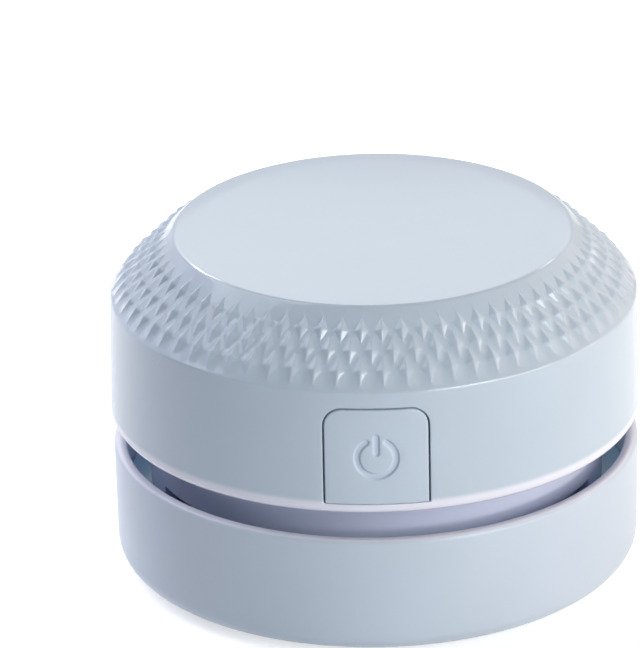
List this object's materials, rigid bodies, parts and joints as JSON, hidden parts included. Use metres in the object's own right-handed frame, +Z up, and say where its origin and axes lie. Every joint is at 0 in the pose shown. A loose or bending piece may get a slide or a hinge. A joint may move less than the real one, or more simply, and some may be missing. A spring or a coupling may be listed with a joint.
{
  "type": "desktop vacuum cleaner",
  "caption": "Small round desktop vacuum cleaner: brushed inlet under a dust cup, lift-off motor unit with an exhaust gap, power button and knurled grip below a flat top.",
  "frame": {"origin": "centre of the round body, on the surface that the four foot pads stand on", "axes": "+Z up along the round body's axis, -Y towards the power button at the front, +X to the right seen from the front"},
  "size_m": [0.0869, 0.087, 0.0573],
  "materials": {
    "foot_rubber": "matte",
    "cup_plastic": "satin",
    "ring_plastic": "satin",
    "bristle": "fine bristles",
    "holder_plastic": "matte",
    "neck_plastic": "satin",
    "seal_rubber": "matte",
    "inner_plastic": "matte",
    "filter_plastic": "matte",
    "filter_cloth": "fine woven mesh",
    "fan_plastic": "satin",
    "shaft_steel": "ground",
    "can_steel": "zinc plated",
    "end_cap_plastic": "matte",
    "bush_bronze": "sintered",
    "magnet_iron": "matte",
    "core_iron": "laminated",
    "winding_copper": "enamelled wire",
    "contact_copper": "polished",
    "shell_plastic": "glossy",
    "cell_can": "shrink-wrapped",
    "strip_nickel": "bright",
    "board_laminate": "solder mask",
    "socket_steel": "bright",
    "switch_plastic": "matte",
    "plunger_plastic": "matte",
    "button_plastic": "satin",
    "screw_steel": "zinc plated",
    "lead_insulation": "smooth"
  },
  "bodies": {
    "base": {"dust_cup": "cup_plastic", "collar_ring": "ring_plastic", "brush_holder": "holder_plastic", "brush_tufts": "bristle", "foot_pads": "foot_rubber"},
    "motor_unit": {"fan_housing": "neck_plastic", "neck_seal": "seal_rubber", "fan_shroud": "inner_plastic", "shroud_screws": "screw_steel", "filter_frame": "filter_plastic", "filter_mesh": "filter_cloth", "motor_can": "can_steel", "motor_end_cap": "end_cap_plastic", "motor_bushes": "bush_bronze", "motor_magnets": "magnet_iron", "motor_brushes": "contact_copper", "motor_terminals": "contact_copper", "top_shell": "shell_plastic", "chassis": "inner_plastic", "body_screws": "screw_steel", "battery_cells": "cell_can", "cell_strips": "strip_nickel", "switch_pins": "strip_nickel", "circuit_board": "board_laminate", "charge_board": "board_laminate", "charge_socket": "socket_steel", "socket_tongue": "switch_plastic", "board_screws": "screw_steel", "switch_body": "switch_plastic", "motor_clamp": "inner_plastic", "clamp_screws": "screw_steel", "battery_leads": "lead_insulation", "motor_leads": "lead_insulation", "charge_leads": "lead_insulation"},
    "rotor": {"motor_shaft": "shaft_steel", "armature_core": "core_iron", "armature_windings": "winding_copper", "commutator": "contact_copper", "fan_impeller": "fan_plastic"},
    "button": {"power_button": "button_plastic", "switch_plunger": "plunger_plastic"}
  },
  "joints": [
    {"name": "unit_lift", "type": "slide", "parent": "base", "child": "motor_unit", "axis": [0, 0, 1], "range_m": [0, 0.045]},
    {"name": "fan_spin", "type": "hinge", "parent": "motor_unit", "child": "rotor", "pos_m": [0, 0, 0.0179], "axis": [0, 0, 1], "continuous": true},
    {"name": "button_press", "type": "slide", "parent": "motor_unit", "child": "button", "axis": [0, 1, 0], "range_m": [0, 0.0015], "stiffness_N_per_m": 800, "springref_m": -0.0003}
  ]
}
